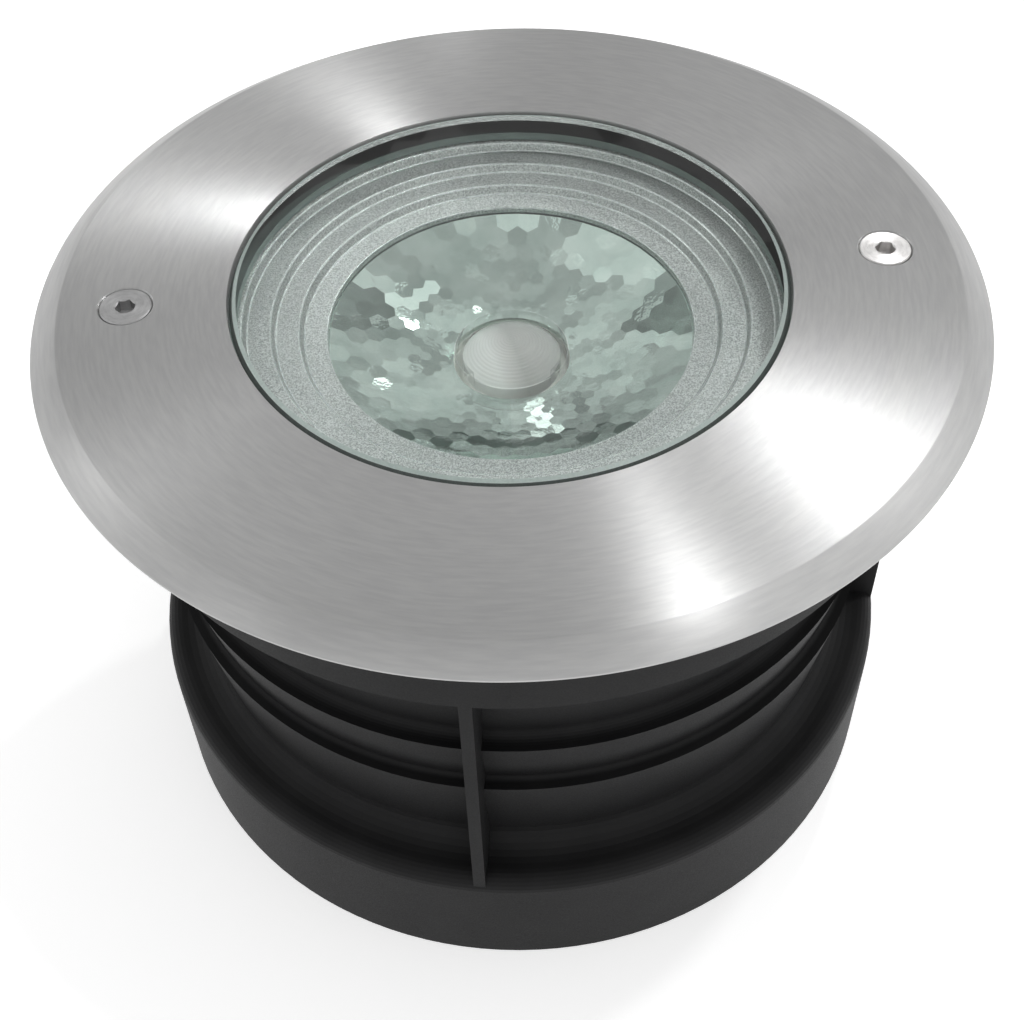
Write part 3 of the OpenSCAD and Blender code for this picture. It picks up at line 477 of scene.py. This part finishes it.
# cover ring, sizes in mm as for every piece below
ringSet = {"opening": 62.0, "rim": 105.0, "under": 130.5, "face": 135.0, "bevelRise": 4.0, "bevelWidth": 6.2,
           "edge": 0.22, "screwCircle": 84.0, "screwAngle": 3.8, "seat": 5.95, "seatLand": 0.4, "hole": 3.3,
           "seatEdge": 0.25, "bottomHoles": 6, "firstHole": 30, "bottomHole": 2.05, "bottomDepth": 3,
           "bottomCircle": 79.45, "sides": 288, "seatSides": 64, "holeSides": 32}


def screwPlace(side):
    angle = math.radians(ringSet["screwAngle"] + (0 if side == "right" else 180))
    return ringSet["screwCircle"] * math.cos(angle), ringSet["screwCircle"] * math.sin(angle)


def coverRing():
    face, under, rim = ringSet["face"], ringSet["under"], ringSet["rim"]
    ring = turned("coverRing", [
        (ringSet["opening"], under), (rim, under), (rim, face - ringSet["bevelRise"]),
        (rim - ringSet["bevelWidth"], face), (ringSet["opening"], face)], sides=ringSet["sides"])
    soften(ring, ringSet["edge"], 2, 20)
    for side in ("right", "left"):
        seat, edge, land = ringSet["seat"], ringSet["seatEdge"], face - ringSet["seatLand"]
        cone = seat - ringSet["hole"]
        carve(ring, turned("seatTool", [
            (seat + 2 * edge, face + edge), (seat, face - edge), (seat, land), (seat - cone, land - cone),
            (seat - cone, under - 1)], screwPlace(side), ringSet["seatSides"], "capped"))
    for i in range(ringSet["bottomHoles"]):
        angle = math.radians(ringSet["firstHole"] + 360 / ringSet["bottomHoles"] * i)
        centre = (ringSet["bottomCircle"] * math.cos(angle), ringSet["bottomCircle"] * math.sin(angle))
        carve(ring, bar("holeTool", ringSet["holeSides"], 2 * ringSet["bottomHole"], under - 1,
                        under + ringSet["bottomDepth"], centre))
    smooth(ring, 25)
    fit(ring, brushedSteel("ringSteel", ringSteel), "lamp", "cover_ring")


coverRing()
print("cover ring made")


# glass, with a ground band painted lighter as a reflection and a dark line of painted shade at its rim, and a bright
# chamfer with a painted glow round its back
glassPlate = {"radius": 61.7, "flange": 66.5, "face": 135.0, "step": 129.5, "back": 123.0, "edge": 0.45,
              "band": 1.7, "bandDrop": 0.35, "line": 0.8, "lineDrop": 1.6, "sides": 256}


def glassDisc():
    g, edge = glassPlate, glassPlate["edge"]
    glass = turned("glassDisc", [
        (g["radius"] - g["band"], g["face"]), (g["radius"] - g["line"], g["face"] - g["bandDrop"]),
        (g["radius"], g["face"] - g["lineDrop"]), (g["radius"], g["step"]),
        (g["flange"] - edge, g["step"]), (g["flange"], g["step"] - edge), (g["flange"], g["back"] + edge),
        (g["flange"] - edge, g["back"])], sides=g["sides"], ends="capped")
    smooth(glass, 8)
    fit(glass, greenGlass(), "lamp", "glass")
    glass.data.materials.append(edgeFinish("edgeFinish", edgeSet))
    glass.data.materials.append(edgeFinish("groundBandReflection", bandReflectionSet))
    glass.data.materials.append(edgeFinish("paintedShadeLine", lineShadeSet))
    for face in glass.data.polygons:
        if -0.9 < face.normal.z < -0.4 and face.center.z < (g["back"] + 1) * mm:
            face.material_index = 1
        # faces of the shallow rim band take the painted reflection
        if 0.9 < face.normal.z < 0.99 and face.center.z > (g["face"] - 1) * mm:
            face.material_index = 2
        # faces of the steep rim chamfer take the painted shade line
        if 0.3 < face.normal.z < 0.9 and face.center.z > (g["face"] - 2) * mm:
            face.material_index = 3


glassDisc()
print("glass made")


# bezel
bezelSet = {"flange": 64.2, "edge": 60.0, "top": 120.8, "steps": 3, "stepWidth": 6.2, "riser": 2.1,
            "riserWidth": 0.8, "treadRise": 0.4, "wall": 1.5, "bead": 0.32, "sides": 192}


def steppedBezel():
    b = bezelSet
    upper = [(b["flange"], b["top"]), (b["edge"], b["top"])]
    lower = []
    for i in range(b["steps"]):
        outer = b["edge"] - i * b["stepWidth"]
        tread = b["top"] - b["riser"] - i * (b["riser"] - b["treadRise"])
        last = i == b["steps"] - 1
        upper += [(outer - b["riserWidth"], tread), (outer - b["stepWidth"], tread + (0 if last else b["treadRise"]))]
        lower = [(outer - b["riserWidth"] + b["wall"], tread - b["wall"])] + lower
    mouth = upper[-1][0]
    outline = upper + [(mouth, upper[-1][1] - b["wall"])] + lower + [
        (b["edge"] + b["wall"], b["top"] - b["wall"]), (b["flange"], b["top"] - b["wall"])]
    bezel = turned("steppedBezel", outline, sides=b["sides"])
    bezel.data.materials.append(bezelPaint("bezelPaint", bezelPaintSet))
    bezel.data.materials.append(bezelPaint("bezelBeadHighlight", bezelHighlightSet))
    # the bevelled bead faces take the painted highlight finish
    soften(bezel, b["bead"], 2, 30, 1)
    smooth(bezel, 40)
    fit(bezel, None, "lamp", "bezel")


steppedBezel()
print("bezel made")


# reflector: the CAD facets, each one flat
def facetBowl():
    source = frame["nodes"]["reflector"]
    pickNone()
    bowl = source.copy()
    bowl.data = source.data.copy()
    bowl.name = bowl.data.name = "facetBowl"
    bpy.context.scene.collection.objects.link(bowl)
    bowl.parent = None
    for key in [k for k in bowl.keys() if k.startswith("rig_")]:
        del bowl[key]
    pick(bowl)
    bpy.ops.object.mode_set(mode="EDIT")
    bpy.ops.mesh.select_all(action="SELECT")
    bpy.ops.mesh.remove_doubles(threshold=1e-6)
    bpy.ops.mesh.dissolve_limited(angle_limit=math.radians(0.3))
    bpy.ops.object.mode_set(mode="OBJECT")
    bpy.ops.object.shade_flat()
    fit(bowl, facetMirror(), "lamp", "reflector")


facetBowl()
print("reflector made")


# lens and its slotted collar
# the collar's rim is a painted highlight: an opaque white band with a faint painted glow on the outer top edge of the
# clear collar
rimHighlightSet = {"dark": (0.85, 0.88, 0.87), "bright": (0.96, 0.98, 0.97), "roughness": (0.2, 0.3),
          "clear": 0.0, "glow": 0.25}
lensShape = {"radius": 11.3, "base": 3.5, "dome": 5.0, "rings": 14, "collarInner": 11.5, "collarOuter": 13.1,
             "collarHeight": 5.6, "slots": 4, "firstSlot": 45, "slotWidth": 1.6, "slotReach": 6, "edge": 0.25,
             "rim": 0.45, "sides": 96}


def lensDome(low):
    s = lensShape
    bend = (s["radius"] ** 2 + s["dome"] ** 2) / (2 * s["dome"])
    top = low + s["base"] + s["dome"]
    reach = math.asin(s["radius"] / bend)
    outline = [(s["radius"] - s["edge"], low), (s["radius"], low + s["edge"])]
    for i in range(s["rings"]):
        angle = reach * (1 - i / s["rings"])
        outline.append((bend * math.sin(angle), top - bend * (1 - math.cos(angle))))
    outline.append((0.02, top))
    lens = turned("lensDome", outline, sides=s["sides"], ends="capped")
    smooth(lens, 40)
    fit(lens, lensPlastic("frostedLens", lensSet), "lamp", "lens")


def lensCollar(low):
    s = lensShape
    collar = turned("lensCollar", [
        (s["collarInner"], low), (s["collarOuter"], low), (s["collarOuter"], low + s["collarHeight"]),
        (s["collarInner"], low + s["collarHeight"])], sides=s["sides"])
    for i in range(s["slots"]):
        angle = math.radians(s["firstSlot"] + 360 / s["slots"] * i)
        pickNone()
        bpy.ops.mesh.primitive_cube_add(size=1, rotation=(0, 0, angle), location=(
            math.cos(angle) * s["collarOuter"] * mm, math.sin(angle) * s["collarOuter"] * mm,
            (low + s["collarHeight"]) * mm))
        tool = bpy.context.object
        tool.scale = (s["slotReach"] * mm, s["slotWidth"] * mm, s["collarHeight"] * mm)
        bpy.ops.object.transform_apply(location=True, rotation=True, scale=True)
        carve(collar, tool)
    soften(collar, s["rim"], 2, 40)
    smooth(collar, 30)
    fit(collar, lensPlastic("clearCollar", collarSet), "lamp", "lens_collar")
    collar.data.materials.append(edgeFinish("collarRimHighlight", rimHighlightSet))
    # the outer top faces of the collar take the painted highlight
    rimLow, rimIn = low + s["collarHeight"] - s["rim"], s["collarOuter"] - s["rim"]
    for face in collar.data.polygons:
        if face.center.z > rimLow * mm and face.center.xy.length > rimIn * mm:
            face.material_index = 1


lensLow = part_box("lens")[0].z / mm
lensDome(lensLow)
lensCollar(lensLow)
print("lens made")


# fixing screws
screwSet = {"head": 5.75, "shank": 3.0, "land": 0.4, "length": 25.0, "face": 135.0, "edge": 0.25, "point": 0.5,
            "socket": 4.0, "socketDepth": 2.6, "turns": {"right": 12, "left": 40},
            "coneOver": 0.2, "coneWide": 0.62, "coneMouth": 0.28, "coneDepth": 0.9,
            "threads": 14, "pitch": 1.0, "threadDepth": 0.45, "sides": 64, "coneSides": 48}
# the right screw's steel is painted lighter and the left one's darker: lit and shaded copies of one steel, as painted
# light
screwLitAndShadedLooks = {
    "right": {"dark": (0.62, 0.61, 0.6), "bright": (0.78, 0.77, 0.76), "roughness": (0.26, 0.4), "anisotropic": 0.6,
              "line": 0.15, "arc": 0.5, "relief": 0.15},
    "left": {"dark": (0.45, 0.45, 0.45), "bright": (0.56, 0.56, 0.56), "roughness": (0.28, 0.42), "anisotropic": 0.6,
             "line": 0.15, "arc": 0.5, "relief": 0.15},
}


def fixingScrew(side):
    s, centre = screwSet, screwPlace(side)
    land = s["face"] - s["land"]
    cone = s["head"] - s["shank"]
    tip = s["face"] - s["length"]
    outline = [(s["head"] - s["edge"], s["face"]), (s["head"], s["face"] - s["edge"]), (s["head"], land),
               (s["shank"], land - cone)]
    threadTop = tip + s["point"] + s["threads"] * s["pitch"]
    outline.append((s["shank"], threadTop))
    for i in range(s["threads"]):
        outline += [(s["shank"] - s["threadDepth"], threadTop - (i + 0.5) * s["pitch"]),
                    (s["shank"], threadTop - (i + 1) * s["pitch"])]
    outline.append((s["shank"] - s["point"], tip))
    screw = turned("fixingScrew_" + side, outline, centre, s["sides"], "capped")
    turn = ringSet["screwAngle"] + s["turns"][side]
    socket = bar("socketTool", 6, s["socket"], s["face"] - s["socketDepth"], s["face"] + 1, centre, turn)
    carve(screw, socket)
    carve(screw, turned("coneTool", [
        (s["socket"] * s["coneWide"], s["face"] + s["coneOver"]), (s["socket"] / 2, s["face"] - s["coneMouth"]),
        (0.02, s["face"] - s["coneDepth"])], centre, s["coneSides"], "capped"))
    smooth(screw, 25)
    finish = brushedSteel("screwSteel_" + side, screwLitAndShadedLooks[side], centre)
    fit(screw, finish, "screw_" + side, "fixing_screw_" + side)


fixingScrew("right")
fixingScrew("left")
print("screws made")


# floor, sky and lamps, in metres; floorLift whitens the floor for the camera, floorShine for the steel
studio = {"floor": (0.88, 0.88, 0.88), "floorSize": 8, "floorDrop": 0.0002, "floorRoughness": 0.9, "floorLift": 0.5,
          "floorShine": 0.52, "fill": 0.66, "aim": Vector((0, 0, 0.12))}
lamps = {
    "backLamp": {"towards": (0.30, 0.58, 0.757), "distance": 1.5, "size": 0.06, "power": 2.7},
    "topLamp": {"towards": (0.29, 0.10, 0.952), "distance": 1.5, "size": 0.08, "power": 3.3},
}
# cards that only the steel, the mirror and the glass see: place and size in degrees as seen from the glass,
# azimuth from +X, elevation above the ground, then the distance in metres, the grey, and how much the grey
# varies from panel to panel
cards = {
    "backCard": (92, 36, 78, 66, 2.2, 0.57, 0.5),
    "rightCard": (15, 36, 60, 60, 2.3, 0.74, 0),
    "leftCard": (170, 36, 60, 60, 2.3, 0.68, 0),
    "topCard": (90, 86, 64, 48, 2.1, 0.48, 0.3),
    "frontCard": (268, 57, 90, 34, 2.3, 0.48, 0),
    "darkLeft": (48, 39, 16, 22, 1.9, 0.24, 0.3),
    "darkRight": (123, 36, 11, 15, 1.9, 0.2, 0.3),
    "stripWindow": (93, 12.5, 1.9, 27, 1.8, 2.4, 0.2),
    "lightStrip": (89.6, 13, 3.3, 26, 1.9, 0.85, 0.3),
    "darkStrip": (98.2, 13, 1.4, 26, 1.9, 0.25, 0.3),
    "rimWindow": (90, 85, 34, 5, 1.9, 0.62, 0.6),
    "rightWindow": (139, 58, 11, 28, 1.8, 0.85, 0.2),
    "leftWindow": (56, 56, 3.6, 12, 1.8, 1.0, 0.3),
    "bevelWindow": (12, 33, 26, 18, 1.9, 1.2, 0),
    "lensWindow": (158, 38, 12, 20, 1.8, 2.2, 0),
    "spotA": (66, 51, 0.9, 0.9, 1.7, 3.5, 0),
    "spotB": (76, 62, 1.0, 1.6, 1.7, 3.0, 0),
    "spotC": (73, 24, 0.9, 0.9, 1.7, 3.5, 0),
    "spotD": (69.5, 37, 0.9, 0.9, 1.7, 3.5, 0),
    "spotE": (84, 6, 1.8, 1.4, 1.7, 3.0, 0),
}
panels = {"size": 0.17}     # metres


def addFloor():
    pickNone()
    bpy.ops.mesh.primitive_plane_add(size=studio["floorSize"], location=(0, 0, -studio["floorDrop"]))
    floor = bpy.context.object
    floor.name = "floor"
    bpy.ops.object.transform_apply(location=True)
    finish, tree, shader = newFinish("paper")
    shader.inputs["Base Color"].default_value = (*studio["floor"], 1)
    shader.inputs["Roughness"].default_value = studio["floorRoughness"]
    shader.inputs["Emission Color"].default_value = (1, 1, 1, 1)
    rays = addNode(tree, "ShaderNodeLightPath")
    seen = addNode(tree, "ShaderNodeMath", operation="MULTIPLY")
    seen.inputs[1].default_value = studio["floorLift"]
    tree.links.new(rays.outputs["Is Camera Ray"], seen.inputs[0])
    lift = addNode(tree, "ShaderNodeMath", operation="MULTIPLY_ADD")
    lift.inputs[1].default_value = studio["floorShine"]
    tree.links.new(rays.outputs["Is Glossy Ray"], lift.inputs[0])
    tree.links.new(seen.outputs["Value"], lift.inputs[2])
    tree.links.new(lift.outputs["Value"], shader.inputs["Emission Strength"])
    floor.data.materials.append(finish)


def addSky():
    world = bpy.data.worlds.new("studio")
    bpy.context.scene.world = world
    world.use_nodes = True
    tree = world.node_tree
    sky = tree.nodes["Background"]
    sky.inputs["Color"].default_value = (1, 1, 1, 1)
    rays = addNode(tree, "ShaderNodeLightPath")
    seen = None
    for name in ("Is Camera Ray", "Is Glossy Ray", "Is Transmission Ray"):
        if seen is None:
            seen = rays.outputs[name]
            continue
        most = addNode(tree, "ShaderNodeMath", operation="MAXIMUM")
        tree.links.new(seen, most.inputs[0])
        tree.links.new(rays.outputs[name], most.inputs[1])
        seen = most.outputs["Value"]
    strength = addNode(tree, "ShaderNodeMapRange")
    strength.inputs["To Min"].default_value = studio["fill"]
    strength.inputs["To Max"].default_value = 1.0
    tree.links.new(seen, strength.inputs["Value"])
    tree.links.new(strength.outputs["Result"], sky.inputs["Strength"])


def addLamps():
    for name, lamp in lamps.items():
        towards = Vector(lamp["towards"]).normalized()
        bpy.ops.object.light_add(type="AREA", location=studio["aim"] + towards * lamp["distance"])
        light = bpy.context.object
        light.name = name
        light.data.shape = "DISK"
        light.data.size = lamp["size"]
        light.data.energy = lamp["power"]
        light.rotation_euler = (-towards).to_track_quat("-Z", "Y").to_euler()


def addCards():
    for name, (azimuth, elevation, width, height, distance, grey, vary) in cards.items():
        around, above = math.radians(azimuth), math.radians(elevation)
        towards = Vector((math.cos(around) * math.cos(above), math.sin(around) * math.cos(above), math.sin(above)))
        pickNone()
        bpy.ops.mesh.primitive_plane_add(size=1)
        card = bpy.context.object
        card.name = name
        card.scale = (2 * distance * math.tan(math.radians(width / 2)),
                      2 * distance * math.tan(math.radians(height / 2)), 1)
        card.rotation_euler = towards.to_track_quat("Z", "Y").to_euler()
        card.location = studio["aim"] + towards * distance
        bpy.ops.object.transform_apply(location=True, rotation=True, scale=True)
        finish, tree, shader = newFinish(name + "Grey")
        glow = addNode(tree, "ShaderNodeEmission")
        glow.inputs["Strength"].default_value = grey
        glow.inputs["Color"].default_value = (1, 1, 1, 1)
        if vary:
            cells = addNode(tree, "ShaderNodeTexVoronoi", distance="CHEBYCHEV")
            cells.inputs["Scale"].default_value = 1 / panels["size"]
            tree.links.new(addNode(tree, "ShaderNodeTexCoord").outputs["Object"], cells.inputs["Vector"])
            level = spread(tree, cells.outputs["Color"], grey * (1 - vary), grey * (1 + vary), 0, 1)
            tree.links.new(level, glow.inputs["Strength"])
        tree.links.new(glow.outputs["Emission"], tree.nodes["Material Output"].inputs["Surface"])
        tree.nodes.remove(shader)
        card.data.materials.append(finish)
        card.visible_camera = False
        card.visible_diffuse = False
        card.visible_shadow = False


addFloor()
addSky()
addLamps()
addCards()
bpy.context.scene.view_settings.view_transform = "Standard"
print("studio lit")

bpy.context.view_layer.update()
